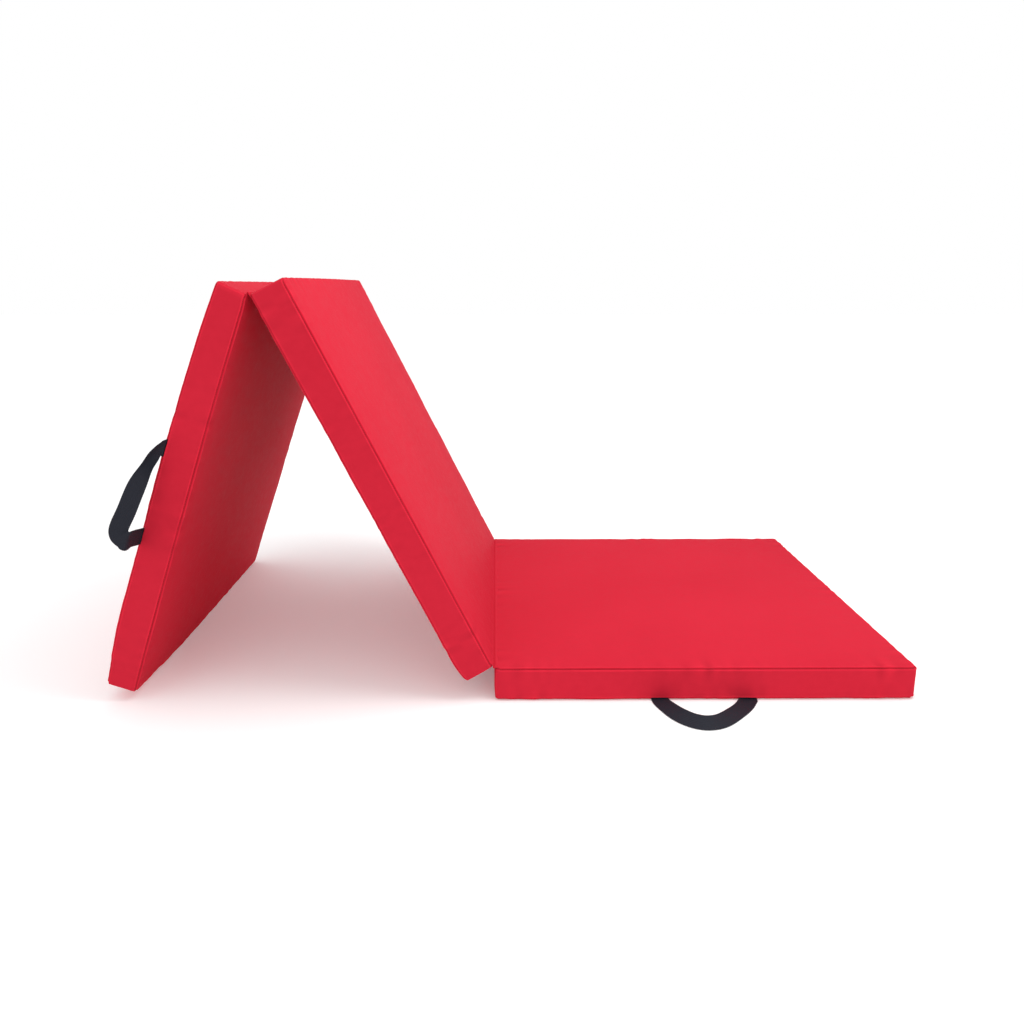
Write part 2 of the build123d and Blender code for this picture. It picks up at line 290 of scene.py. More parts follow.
def ramp(tree, factor, low, high, dark, light):
    """A colour between dark and light as factor goes from low to high."""
    node = add(tree, "ShaderNodeValToRGB", Fac=factor)
    node.color_ramp.elements[0].position = low
    node.color_ramp.elements[0].color = (*dark, 1)
    node.color_ramp.elements[1].position = high
    node.color_ramp.elements[1].color = (*light, 1)
    return node.outputs["Color"]


def span(tree, factor, low, high, to_low, to_high):
    """A Map Range node's result."""
    node = tree.nodes.new("ShaderNodeMapRange")
    for socket, value in zip(node.inputs, (factor, low, high, to_low, to_high)):
        feed(tree, socket, value)
    return node.outputs["Result"]


def weave(tree, uv, pitch):
    """Height of a plain weave, from 0 to 1, with threads along both directions of uv."""
    parts = tree.nodes.new("ShaderNodeSeparateXYZ")
    feed(tree, parts.inputs[0], uv)
    turns = 2 * pi / pitch
    warp = combine(tree, "SINE", combine(tree, "MULTIPLY", parts.outputs["X"], turns), 0)
    weft = combine(tree, "SINE", combine(tree, "MULTIPLY", parts.outputs["Y"], turns), 0)
    product = combine(tree, "MULTIPLY", warp, weft)
    return combine(tree, "MULTIPLY_ADD", product, 0.5, 0.5)


# ---- materials -----------------------------------------------------------------------
def make_cover_fabric():
    """Coated woven polyester: red, matt, plain weave, with a painted highlight on the seam ridges and
    painted shade in the grooves.
    """
    material, tree, shader = new_material("cover_fabric")
    uv = tree.nodes.new("ShaderNodeUVMap").outputs["UV"]
    place = tree.nodes.new("ShaderNodeTexCoord").outputs["Object"]
    broad = add(tree, "ShaderNodeTexNoise", Vector=place, Scale=5.0, Detail=3.0).outputs["Fac"]
    mottle = add(tree, "ShaderNodeTexNoise", Vector=place, Scale=90.0, Detail=4.0).outputs["Fac"]
    grain = add(tree, "ShaderNodeTexNoise", Vector=uv, Scale=900.0, Detail=2.0).outputs["Fac"]
    threads = weave(tree, uv, WEAVE_PITCH)
    tone = combine(tree, "MULTIPLY_ADD", broad, 0.6, combine(tree, "MULTIPLY", mottle, 0.4))
    colour = ramp(tree, tone, 0.3, 0.7, (0.605, 0.0190, 0.0400), (0.662, 0.0230, 0.0470))
    relief = add(tree, "ShaderNodeAttribute", attribute_name="relief").outputs["Fac"]
    # painted highlight on the seam ridges and puckers, painted shade in their grooves, read from the
    # relief attribute
    painted_seam_shading = span(tree, relief, -1.0, 1.0, 0.70, 1.08)
    shade = combine(tree, "MULTIPLY", painted_seam_shading, span(tree, threads, 0.0, 1.0, 0.94, 1.03))
    tinted = add(tree, "ShaderNodeMix", data_type="RGBA", blend_type="MULTIPLY")
    feed(tree, tinted.inputs["Factor"], 1.0)
    feed(tree, tinted.inputs["A"], colour)
    feed(tree, tinted.inputs["B"], shade)
    feed(tree, shader.inputs["Base Color"], tinted.outputs["Result"])
    feed(tree, shader.inputs["Roughness"], span(tree, mottle, 0.3, 0.7, 0.50, 0.62))
    height = combine(tree, "MULTIPLY_ADD", grain, 0.6, threads)
    bump = add(tree, "ShaderNodeBump", Height=height, Strength=0.35, Distance=0.00012)
    soft = add(tree, "ShaderNodeBump", Height=mottle, Strength=0.25, Distance=0.0010)
    feed(tree, soft.inputs["Normal"], bump.outputs["Normal"])
    feed(tree, shader.inputs["Normal"], soft.outputs["Normal"])
    shader.inputs["Specular IOR Level"].default_value = 0.01
    return material


def make_foam():
    """Open-cell polyurethane foam."""
    material, tree, shader = new_material("foam")
    place = tree.nodes.new("ShaderNodeTexCoord").outputs["Object"]
    cells = add(tree, "ShaderNodeTexVoronoi", Vector=place, Scale=420.0).outputs["Distance"]
    tone = add(tree, "ShaderNodeTexNoise", Vector=place, Scale=30.0, Detail=4.0).outputs["Fac"]
    colour = ramp(tree, tone, 0.3, 0.7, (0.62, 0.60, 0.50), (0.74, 0.72, 0.62))
    feed(tree, shader.inputs["Base Color"], colour)
    bump = add(tree, "ShaderNodeBump", Height=cells, Strength=0.8, Distance=0.0008)
    feed(tree, shader.inputs["Normal"], bump.outputs["Normal"])
    shader.inputs["Roughness"].default_value = 0.95
    return material


def make_thread():
    """Twisted polyester sewing thread, in the cover's red."""
    material, tree, shader = new_material("sewing_thread")
    place = tree.nodes.new("ShaderNodeTexCoord").outputs["Object"]
    twist = add(tree, "ShaderNodeTexNoise", Vector=place, Scale=1500.0, Detail=2.0).outputs["Fac"]
    colour = ramp(tree, twist, 0.3, 0.7, (0.36, 0.010, 0.020), (0.62, 0.022, 0.042))
    feed(tree, shader.inputs["Base Color"], colour)
    bump = add(tree, "ShaderNodeBump", Height=twist, Strength=0.5, Distance=0.0001)
    feed(tree, shader.inputs["Normal"], bump.outputs["Normal"])
    shader.inputs["Roughness"].default_value = 0.42
    return material


def make_zip_tape():
    """Knitted zip tape, dark grey, with fine ribs along it."""
    material, tree, shader = new_material("zip_tape")
    place = tree.nodes.new("ShaderNodeTexCoord").outputs["Object"]
    ribs = weave(tree, place, ZIP_TAPE_RIBS)
    colour = ramp(tree, ribs, 0.1, 0.9, (0.012, 0.012, 0.013), (0.034, 0.034, 0.037))
    feed(tree, shader.inputs["Base Color"], colour)
    bump = add(tree, "ShaderNodeBump", Height=ribs, Strength=0.6, Distance=0.0002)
    feed(tree, shader.inputs["Normal"], bump.outputs["Normal"])
    shader.inputs["Roughness"].default_value = 0.8
    return material


def make_zip_coil():
    """Black nylon of the zip's coils and stops."""
    material, tree, shader = new_material("zip_coil")
    place = tree.nodes.new("ShaderNodeTexCoord").outputs["Object"]
    scuffs = add(tree, "ShaderNodeTexNoise", Vector=place, Scale=350.0, Detail=3.0).outputs["Fac"]
    colour = ramp(tree, scuffs, 0.35, 0.75, (0.014, 0.014, 0.015), (0.040, 0.040, 0.044))
    feed(tree, shader.inputs["Base Color"], colour)
    feed(tree, shader.inputs["Roughness"], span(tree, scuffs, 0.3, 0.7, 0.25, 0.45))
    return material


def make_zip_metal():
    """Nickel-plated die casting, faintly brushed and a little scuffed."""
    material, tree, shader = new_material("zip_metal")
    place = tree.nodes.new("ShaderNodeTexCoord").outputs["Object"]
    scuffs = add(tree, "ShaderNodeTexNoise", Vector=place, Scale=700.0, Detail=5.0).outputs["Fac"]
    colour = ramp(tree, scuffs, 0.35, 0.65, (0.46, 0.46, 0.47), (0.66, 0.66, 0.68))
    feed(tree, shader.inputs["Base Color"], colour)
    feed(tree, shader.inputs["Roughness"], span(tree, scuffs, 0.3, 0.7, 0.22, 0.42))
    bump = add(tree, "ShaderNodeBump", Height=scuffs, Strength=0.15, Distance=0.0001)
    feed(tree, shader.inputs["Normal"], bump.outputs["Normal"])
    shader.inputs["Metallic"].default_value = 1.0
    return material


def make_webbing():
    """Black polypropylene webbing: herringbone rows along the strap, dull yarn."""
    material, tree, shader = new_material("webbing")
    uv = tree.nodes.new("ShaderNodeUVMap").outputs["UV"]
    parts = tree.nodes.new("ShaderNodeSeparateXYZ")
    feed(tree, parts.inputs[0], uv)
    row = combine(tree, "PINGPONG", parts.outputs["Y"], WEBBING_WIDTH / WEBBING_RIBS / 2)
    slant = combine(tree, "MULTIPLY_ADD", row, YARN_SLANT, parts.outputs["X"])
    yarn = combine(tree, "SINE", combine(tree, "MULTIPLY", slant, 2 * pi / YARN_PITCH), 0)
    fuzz = add(tree, "ShaderNodeTexNoise", Vector=uv, Scale=1400.0, Detail=3.0).outputs["Fac"]
    height = combine(tree, "MULTIPLY_ADD", fuzz, 0.8, combine(tree, "MULTIPLY_ADD", yarn, 0.5, 0.5))
    colour = ramp(tree, height, 0.2, 1.4, (0.0048, 0.0054, 0.0092), (0.0155, 0.0170, 0.0270))
    feed(tree, shader.inputs["Base Color"], colour)
    bump = add(tree, "ShaderNodeBump", Height=height, Strength=0.7, Distance=0.00025)
    feed(tree, shader.inputs["Normal"], bump.outputs["Normal"])
    shader.inputs["Roughness"].default_value = 0.62
    shader.inputs["Specular IOR Level"].default_value = 0.2
    return material


def make_floor():
    """Pale seamless studio floor."""
    material, tree, shader = new_material("studio_floor")
    place = tree.nodes.new("ShaderNodeTexCoord").outputs["Object"]
    dust = add(tree, "ShaderNodeTexNoise", Vector=place, Scale=3.0, Detail=2.0).outputs["Fac"]
    colour = ramp(tree, dust, 0.3, 0.7, (0.92, 0.92, 0.92), (0.94, 0.94, 0.94))
    feed(tree, shader.inputs["Base Color"], colour)
    shader.inputs["Roughness"].default_value = 0.9
    shader.inputs["Specular IOR Level"].default_value = 0.1
    shader.inputs["Emission Color"].default_value = (1, 1, 1, 1)
    shader.inputs["Emission Strength"].default_value = FLOOR_GLOW
    return material


MATERIALS = {
    "cover_fabric": make_cover_fabric(),
    "foam": make_foam(),
    "sewing_thread": make_thread(),
    "zip_tape": make_zip_tape(),
    "zip_coil": make_zip_coil(),
    "zip_metal": make_zip_metal(),
    "webbing": make_webbing(),
}


# ---- mesh helpers --------------------------------------------------------------------
def new_piece(name, points, faces, slot, uvs=None, relief=None):
    """A smooth mesh piece with its material.

    uvs hold one pair for each face corner, and relief one value for each point: above 0 on a ridge, where
    a painted highlight lightens the fabric, and below 0 in a groove, where painted shade darkens it.
    """
    mesh = bpy.data.meshes.new(name)
    mesh.from_pydata([tuple(p) for p in points], [], [tuple(int(i) for i in f) for f in faces])
    mesh.shade_smooth()
    if uvs is not None:
        layer = mesh.uv_layers.new(name="UVMap")
        layer.data.foreach_set("uv", np.asarray(uvs, np.float32).ravel())
    if relief is not None:
        mesh.attributes.new("relief", "FLOAT", "POINT").data.foreach_set("value", np.float32(relief))
    mesh.materials.append(MATERIALS[slot])
    mesh.validate()
    piece = bpy.data.objects.new(name, mesh)
    bpy.context.scene.collection.objects.link(piece)
    return piece


def to_frame(points, place):
    """Local points of a panel, in the frame's axes."""
    matrix = np.array(place)
    return points @ matrix[:3, :3].T + matrix[:3, 3]


def spaced(half, insets, step):
    """Stations from -half to half: close together near both ends and even between."""
    start = half - insets[-1]
    even = np.linspace(-start, start, round(2 * start / step) + 1)
    edge = half - np.array(insets[:-1])
    return np.concatenate([-edge, even, edge[::-1]])


class Shell:
    """The surface of a box, divided into quads at stations along its three axes."""

    def __init__(self, xs, ys, zs):
        self.stations = (xs, ys, zs)
        on = np.zeros((len(xs), len(ys), len(zs)), bool)
        on[[0, -1]] = True
        on[:, [0, -1]] = True
        on[:, :, [0, -1]] = True
        self.ids = np.full(on.shape, -1)
        self.ids[on] = np.arange(on.sum())
        where = np.argwhere(on)
        self.points = np.stack([s[where[:, n]] for n, s in enumerate(self.stations)], axis=1)
        # Each side: its grid of ids, the two axes that it spans, and whether its quads turn over.
        self.sides = [
            (self.ids[:, :, -1], (0, 1), False),
            (self.ids[:, :, 0], (0, 1), True),
            (self.ids[:, 0, :], (0, 2), False),
            (self.ids[:, -1, :], (0, 2), True),
            (self.ids[0], (1, 2), True),
            (self.ids[-1], (1, 2), False),
        ]

    def quads(self):
        """All quads, side by side, facing outwards."""
        found = []
        for grid, _, turned in self.sides:
            corners = [grid[:-1, :-1], grid[1:, :-1], grid[1:, 1:], grid[:-1, 1:]]
            quads = np.stack(corners, axis=-1).reshape(-1, 4)
            found.append(quads[:, ::-1] if turned else quads)
        return np.concatenate(found)

    def uvs(self):
        """Flat coordinates in metres for each quad's corners: those of the box's side."""
        found = []
        start = 0
        quads = self.quads()
        for grid, axes, _ in self.sides:
            count = (grid.shape[0] - 1) * (grid.shape[1] - 1)
            ids = quads[start:start + count]
            found.append(self.points[ids][..., list(axes)])
            start += count
        return np.concatenate(found)

    def carry(self, values, finer):
        """Values at this shell's points, smoothly taken over to a finer shell's points."""
        result = np.zeros(len(finer.points))
        for (grid, axes, _), (fine_grid, _, _) in zip(self.sides, finer.sides):
            table = values[grid]
            for n, axis in enumerate(axes):
                table = np.moveaxis(table, n, 0)
                wanted = finer.stations[axis]
                known = self.stations[axis]
                rows = [np.interp(wanted, known, row) for row in table.reshape(len(table), -1).T]
                table = np.moveaxis(np.array(rows).T.reshape(-1, *table.shape[1:]), 0, n)
            for n in (0, 1):
                table = np.moveaxis(table, n, 0)
                table[1:-1] = (table[:-2] + 2 * table[1:-1] + table[2:]) / 4
                table = np.moveaxis(table, 0, n)
            result[fine_grid] = table
        return result


def quarter(a, b):
    """Angle of a point of a square's two outer sides on the quarter circle it maps to."""
    larger = np.maximum(np.maximum(a, b), 1e-9)
    share = np.minimum(a, b) / larger * pi / 4
    return np.where(a >= b, share, pi / 2 - share)


def side_mix(normals, left, right, near, far):
    """A value that changes round a panel from side to side, by its outward direction."""
    x, y = normals.T
    return (
        np.where(x < 0, left, right) * x**2
        + np.where(y < 0, near, far) * y**2
    )


class Rounded:
    """Box points rounded into a panel: places, normals, and where each point lies.

    edge is the distance across the nearest sewn edge, measured along the surface:
    above 0 on a face, below 0 on a wall, 0 in the groove of the seam.
    """

    def __init__(self, points, half, corner, radii, drops):
        x, y, z = points.T
        a = np.clip((np.abs(x) - half[0] + corner) / corner, 0, 1)
        b = np.clip((np.abs(y) - half[1] + corner) / corner, 0, 1)
        turn = quarter(a, b)
        size = np.maximum(a, b)
        in_corner = (a > 0) & (b > 0)
        inset_x = half[0] - np.abs(x)
        inset_y = half[1] - np.abs(y)
        inset = np.minimum(inset_x, inset_y)
        px = np.where(in_corner, half[0] - corner + corner * size * np.cos(turn), np.abs(x))
        py = np.where(in_corner, half[1] - corner + corner * size * np.sin(turn), np.abs(y))
        nx = np.where(in_corner, np.cos(turn), inset_x < inset_y)
        ny = np.where(in_corner, np.sin(turn), inset_x >= inset_y)
        plan = np.stack([np.sign(x) * px, np.sign(y) * py], axis=1)
        self.outward = np.stack([np.sign(x) * nx, np.sign(y) * ny], axis=1)
        self.upper = z >= 0
        self.inset = inset
        radius = side_mix(self.outward, *radii)
        depth = half[2] - np.abs(z)
        rise = quarter(np.clip(1 - inset / radius, 0, 1), np.clip(1 - depth / radius, 0, 1))
        near_edge = (inset < radius) & (depth < radius)
        moved = np.where(near_edge, radius * (1 - np.cos(rise)) - inset, 0)
        sunk = np.where(near_edge, radius * (1 - np.sin(rise)), depth)
        plan -= self.outward * moved[:, None]
        flat = inset >= radius
        rise = np.where(near_edge, rise, np.where(flat, pi / 2, 0))
        drop = side_mix(self.outward, *drops) * (1 - np.clip(inset / EDGE_DROP_REACH, 0, 1)) ** 2
        height = np.where(self.upper, 1, -1) * (half[2] - sunk) * (1 - drop / half[2])
        self.places = np.column_stack([plan, height])
        self.normals = np.column_stack([
            self.outward * np.cos(rise)[:, None],
            np.where(self.upper, 1, -1) * np.sin(rise),
        ])
        beyond = np.where(flat, inset - radius, 0) - np.where(~flat & ~near_edge, depth - radius, 0)
        self.edge = (rise - pi / 4) * radius + beyond
        self.corner_turn = np.where(in_corner, turn - pi / 4, 1.0)


# ---- padded covers -------------------------------------------------------------------
def blow_up(points, quads, pinned, seed):
    """Runs the cover as cloth under pressure, held along its seams; returns its points."""
    rng = np.random.default_rng(seed)
    start = points + rng.normal(0, SIM_JITTER, points.shape)
    start[pinned] = points[pinned]
    mesh = bpy.data.meshes.new("blown")
    mesh.from_pydata([tuple(p) for p in start], [], [tuple(int(i) for i in q) for q in quads])
    blown = bpy.data.objects.new("blown", mesh)
    bpy.context.scene.collection.objects.link(blown)
    seam = blown.vertex_groups.new(name="seam")
    seam.add([int(i) for i in np.flatnonzero(pinned)], 1.0, "ADD")
    cloth = blown.modifiers.new("cloth", "CLOTH")
    cloth.settings.vertex_group_mass = seam.name
    cloth.settings.use_pressure = True
    cloth.settings.uniform_pressure_force = PRESSURE
    cloth.settings.shrink_min = -SLACK
    cloth.settings.effector_weights.gravity = 0
    cloth.settings.quality = SIM_QUALITY
    cloth.point_cache.frame_end = SIM_FRAMES
    for number in range(1, SIM_FRAMES + 1):
        bpy.context.scene.frame_set(number)
    result = blown.evaluated_get(bpy.context.evaluated_depsgraph_get()).data
    places = np.array([v.co for v in result.vertices])
    bpy.context.scene.frame_set(1)
    bpy.data.objects.remove(blown)
    bpy.data.meshes.remove(mesh)
    return places


def held_back(rise, cap):
    """A free rise held back by the foam, never more than the cap."""
    return cap * np.tanh(rise / SOFT_SCALE)


def waves(along, rng, shortest, longest, count):
    """A smooth random line of about unit height."""
    total = np.zeros_like(along)
    for _ in range(count):
        length = rng.uniform(shortest, longest)
        total += np.sin(2 * pi * (along / length + rng.uniform()))
    return total / np.sqrt(count)


def seam_relief(name, rounded, rng):
    """Ridges and groove of the sewn edges, with their puckers and the corner seams."""
    x, y, z = rounded.places.T
    edge = rounded.edge
    plain = side_mix(
        rounded.outward,
        0 if -1 in FOLD_ENDS[name] else 1,
        0 if 1 in FOLD_ENDS[name] else 1,
        1,
        1,
    )
    wander = waves(x + 3 * y, rng, *RIDGE_WAVES)
    ridge = np.exp(-(((np.abs(edge) - RIDGE_OFFSET) / RIDGE_WIDTH) ** 2))
    groove = np.exp(-((edge / GROOVE_WIDTH) ** 2))
    relief = plain * (RIDGE_HEIGHT * (1 + RIDGE_CHANGE * wander) * ridge - GROOVE_DEPTH * groove)
    # puckers run square to the seam, and die out at the corners
    long_side = np.abs(rounded.outward[:, 1]) > 0.5
    along = np.where(long_side, x, y)
    room = np.where(long_side, HALF_LENGTH, HALF_WIDTH) - np.abs(along)
    fade = np.clip(room / PUCKER_FADE, 0, 1)
    pattern = waves(along + 0.9 * np.sign(z), rng, *PUCKER_WAVES)
    pattern *= 0.6 + 0.5 * waves(along, rng, *PATCH_WAVES)
    reach = np.exp(-np.abs(edge) / PUCKER_REACH)
    relief += PUCKER_HEIGHT * fade * pattern * reach
    # the upright seam at each corner of the walls
    upright = np.exp(-((rounded.corner_turn * CORNER_RADIUS / RIDGE_WIDTH) ** 2))
    below = (edge < 0) * np.clip(-edge / UPRIGHT_FADE, 0, 1)
    relief += UPRIGHT_SHARE * RIDGE_HEIGHT * upright * below
    return relief


def zip_relief(rounded):
    """The slot of the zip in the far wall, with the folded lip along both of its sides."""
    x, _, z = rounded.places.T
    beside = np.maximum(np.abs(z) - ZIP_HALF_OPENING, np.abs(x) - ZIP_HALF_LENGTH)
    far_wall = (rounded.outward[:, 1] > 0.5) & (rounded.edge < -ZIP_WALL_MARGIN)
    slot = -ZIP_DEPTH * np.clip(0.5 - beside / ZIP_SLOPE, 0, 1)
    lip = ZIP_LIP * np.exp(-(((beside - ZIP_LIP_OFFSET) / ZIP_LIP_WIDTH) ** 2))
    return far_wall * (slot + lip)


def in_use(name, places):
    """How a panel's shape gives in use, as a move of each local point."""
    x, y, z = places.T
    move = np.zeros_like(places)
    along = np.clip(np.abs(x) / HALF_LENGTH, 0, 1)
    across = np.clip(np.abs(y) / HALF_WIDTH, 0, 1)
    if name == "end":
        nearness = np.clip((HALF_WIDTH - y) / (2 * HALF_WIDTH), 0, 1)
        move[:, 2] += END_BOW * (1 - along**2) * nearness**2
        outer = np.clip(0.5 + z / (2 * HALF_THICKNESS), 0, 1)
        thinned = np.clip(1 - (HALF_LENGTH - x) / END_TAPER_REACH, 0, 1) ** 2
        hung = np.clip((HALF_LENGTH - x) / END_LEAN_FADE, 0, 1)
        move[:, 2] -= thinned * (END_TAPER * outer + END_LEAN * (1 - outer) * hung)
        upper = np.clip(1 - (HALF_LENGTH - x) / END_RISE_REACH, 0, 1)
        move[:, 0] += END_RISE * upper * outer
        toe = ((HALF_LENGTH + x) / TOE_REACH[0]) ** 2 + ((HALF_WIDTH + y) / TOE_REACH[1]) ** 2
        move[:, 0] += TOE_LIFT * np.exp(-toe)
        move[:, 2] -= TOE_TUCK * TOE_LIFT * np.exp(-toe) * outer
    if name == "middle":
        top_end = np.clip(1 - (x + HALF_LENGTH) / APEX_REACH, 0, 1) * (x < 0)
        move[:, 0] -= APEX_SWELL * top_end * (1 - across**2) * np.clip(z / HALF_THICKNESS, 0, 1)
        lower_end = np.clip(1 - (HALF_LENGTH - x) / HEEL_REACH, 0, 1)
        below = np.clip(0.5 - z / (2 * HALF_THICKNESS), 0, 1)
        move[:, 0] += HEEL_BULGE * lower_end**2 * np.sqrt(below)
        move[:, 2] += HEEL_BULGE * lower_end**2 * below**2
    if name == "base":
        fold_end = np.clip(1 - (HALF_LENGTH + x) / HEEL_REACH, 0, 1)
        move[:, 0] -= TOE_BULGE * fold_end * np.clip(1 - (z / HALF_THICKNESS) ** 2, 0, 1)
    return move


WALL_STATIONS = (0.0155, 0.0165, 0.0174, 0.0178, 0.0182, 0.0188, 0.0205, 0.0228)


def cover_shell():
    """The fine shell of a cover, with rows of quads along the zip's opening."""
    upper = HALF_THICKNESS - np.array(FINE_INSETS + WALL_STATIONS)
    zs = np.concatenate([-upper, [0], upper[::-1]])
    return Shell(
        spaced(HALF_LENGTH, FINE_INSETS, GRID_STEP),
        spaced(HALF_WIDTH, FINE_INSETS, GRID_STEP),
        zs,
    )


def edge_sizes(name):
    """Edge radii and drops of a cover: left, right, near and far."""
    left = -1 in FOLD_ENDS[name]
    right = 1 in FOLD_ENDS[name]
    radii = (
        FOLD_EDGE_RADIUS if left else FREE_EDGE_RADIUS,
        FOLD_EDGE_RADIUS if right else FREE_EDGE_RADIUS,
        EDGE_RADIUS,
        EDGE_RADIUS,
    )
    drops = (
        FOLD_EDGE_DROP if left else EDGE_DROP,
        FOLD_EDGE_DROP if right else EDGE_DROP,
        EDGE_DROP,
        EDGE_DROP,
    )
    return radii, drops


def make_cover(name, seed):
    """A panel's cover: rounded, blown up against its foam, sewn along its edges."""
    fine = cover_shell()
    rounded = Rounded(fine.points, HALF, CORNER_RADIUS, *edge_sizes(name))
    rng = np.random.default_rng(seed)
    rise = np.zeros(len(fine.points))
    coarse = Shell(
        np.linspace(-HALF_LENGTH, HALF_LENGTH, round(2 * HALF_LENGTH / SIM_STEP) + 1),
        np.linspace(-HALF_WIDTH, HALF_WIDTH, round(2 * HALF_WIDTH / SIM_STEP) + 1),
        np.linspace(-HALF_THICKNESS, HALF_THICKNESS, SIM_LAYERS),
    )
    start = Rounded(coarse.points, HALF, CORNER_RADIUS, *edge_sizes(name))
    pinned = np.abs(np.abs(coarse.points[:, 2]) - HALF_THICKNESS) < TOUCHING
    pinned &= start.inset < TOUCHING
    blown = blow_up(start.places, coarse.quads(), pinned, seed)
    moved = blown - start.places
    outwards = np.einsum("ij,ij->i", moved, start.normals)
    rise = coarse.carry(outwards, fine)
    on_face = rounded.edge > 0
    cap = np.where(on_face, CROWN, WALL_CROWN)
    height = held_back(rise, cap)
    relief = seam_relief(name, rounded, rng)
    height += relief + zip_relief(rounded)
    places = rounded.places + rounded.normals * height[:, None]
    places += in_use(name, places)
    world = to_frame(places, PLACES[name])
    world[:, 2] = np.maximum(world[:, 2], 0)
    # the seam relief also sets the cover's painted highlight on ridges and painted shade in grooves
    seam_shading_marks = np.clip(relief / RIDGE_HEIGHT, -1, 1)
    cover = new_piece(f"{name}_cover", world, fine.quads(), "cover_fabric", fine.uvs(), seam_shading_marks)
    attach(cover, f"{name}_panel")
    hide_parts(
        *[
            f"{name}_{part}"
            for part in (
                "top_sheet", "bottom_sheet", "near_wall", "far_wall_upper",
                "far_wall_lower", "right_end_wall", "left_end_wall",
            )
        ],
    )
    return places, fine.quads()


# ---- foam cores ----------------------------------------------------------------------
def make_core(name):
    """A panel's foam block, bent with its cover."""
    half = HALF - np.array(FOAM_GAP)
    shell = Shell(*[spaced(size, FOAM_INSETS, FOAM_STEP) for size in half])
    radii = (FOAM_EDGE_RADIUS,) * 4
    places = Rounded(shell.points, half, FOAM_CORNER_RADIUS, radii, (0,) * 4).places
    places += in_use(name, places)
    core = new_piece(f"{name}_foam_block", to_frame(places, PLACES[name]), shell.quads(), "foam")
    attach(core, f"{name}_panel")
    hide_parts(f"{name}_foam_core")


# ---- stitches ------------------------------------------------------------------------
STITCH_STATIONS = (-0.5, -0.42, -0.2, 0.0, 0.2, 0.42, 0.5)
STITCH_SHARES = (0.15, 0.7, 1.0, 1.0, 1.0, 0.7, 0.15)
STITCH_SIDES = 6


def stitch_form():
    """One stitch along X, standing on Z: a short thread with both ends dipping in."""
    angles = np.arange(STITCH_SIDES) * 2 * pi / STITCH_SIDES
    rings = []
    for station, share in zip(STITCH_STATIONS, STITCH_SHARES):
        radius = STITCH_RADIUS * share
        lift = STITCH_RADIUS * STITCH_LIFT - (STITCH_SINK + STITCH_RADIUS) * (2 * station) ** 2
        ring = [(station * STITCH_LENGTH, radius * cos(t), lift + radius * sin(t)) for t in angles]
        rings.append(ring)
    return np.array(rings).reshape(-1, 3)


def ring_faces(rows, ring, closed=False):
    """Faces of a tube of rows of ring points, with both ends closed, or joined up."""
    ids = np.arange(rows * ring).reshape(rows, ring)
    if closed:
        ids = np.vstack([ids, ids[:1]])
    after = np.roll(ids, -1, axis=1)
    faces = np.stack([ids[:-1], after[:-1], after[1:], ids[1:]], axis=-1).reshape(-1, 4).tolist()
    if not closed:
        faces += [ids[0][::-1].tolist(), ids[-1].tolist()]
    return faces


def make_stitches(name, places, along, up):
    """Stitches at the places, each along its direction and standing on its surface."""
    across = np.cross(up, along)
    basis = np.stack([along, across, up], axis=1)
    form = stitch_form()
    points = places[:, None] + np.einsum("ki,nij->nkj", form, basis)
    one = ring_faces(len(STITCH_STATIONS), STITCH_SIDES)
    faces = [[i + n * len(form) for i in face] for n in range(len(places)) for face in one]
    return new_piece(name, points.reshape(-1, 3), faces, "sewing_thread")


def make_seam_stitches(name):
    """The lock stitches that close a cover, at the bottom of its seams' grooves."""
    count = int(2 * HALF_LENGTH / STITCH_PITCH)
    run = (np.arange(count) + 0.5) / count * 2 - 1
    left, right = (-1 in FOLD_ENDS[name]), (1 in FOLD_ENDS[name])
    outline = [np.column_stack([run * HALF_LENGTH, np.full(count, s * HALF_WIDTH)]) for s in (-1, 1)]
    for side, folded in ((-1, left), (1, right)):
        if not folded:
            outline.append(np.column_stack([np.full(count, side * HALF_LENGTH), run * HALF_WIDTH]))
    outline = np.concatenate(outline)
    levels = [np.full(len(outline), s * HALF_THICKNESS) for s in (-1, 1)]
    points = np.concatenate([np.column_stack([outline, level]) for level in levels])
    rounded = Rounded(points, HALF, CORNER_RADIUS, *edge_sizes(name))
    along = np.column_stack([-rounded.outward[:, 1], rounded.outward[:, 0], np.zeros(len(points))])
    along /= np.linalg.norm(along, axis=1)[:, None]
    places = rounded.places - rounded.normals * GROOVE_DEPTH
    places += in_use(name, places)
    turn = np.array(PLACES[name])[:3, :3].T
    stitches = make_stitches(
        f"{name}_seam_stitches", to_frame(places, PLACES[name]), along @ turn, rounded.normals @ turn
    )
    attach(stitches, f"{name}_panel")
    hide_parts(f"{name}_top_seam_thread", f"{name}_bottom_seam_thread")


def make_zip_stitches(name, places, quads):
    """Two rows of stitches that hold the zip's tapes, on the fabric beside the opening."""
    tree = BVHTree.FromPolygons(places.tolist(), quads.tolist())
    count = int(2 * ZIP_HALF_LENGTH / STITCH_PITCH)
    outside = Vector((0, 1, 0))
    found = []
    for z in (-ZIP_STITCH_OFFSET, ZIP_STITCH_OFFSET):
        for x in np.linspace(-ZIP_HALF_LENGTH, ZIP_HALF_LENGTH, count):
            found.append(tree.ray_cast(Vector((x, HALF_WIDTH + 0.02, z)), -outside)[0])
    turn = np.array(PLACES[name])[:3, :3].T
    along = np.tile((1.0, 0, 0), (len(found), 1)) @ turn
    up = np.tile((0, 1.0, 0), (len(found), 1)) @ turn
    stitches = make_stitches(f"{name}_zip_stitches", to_frame(np.array(found), PLACES[name]), along, up)
    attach(stitches, f"{name}_panel")


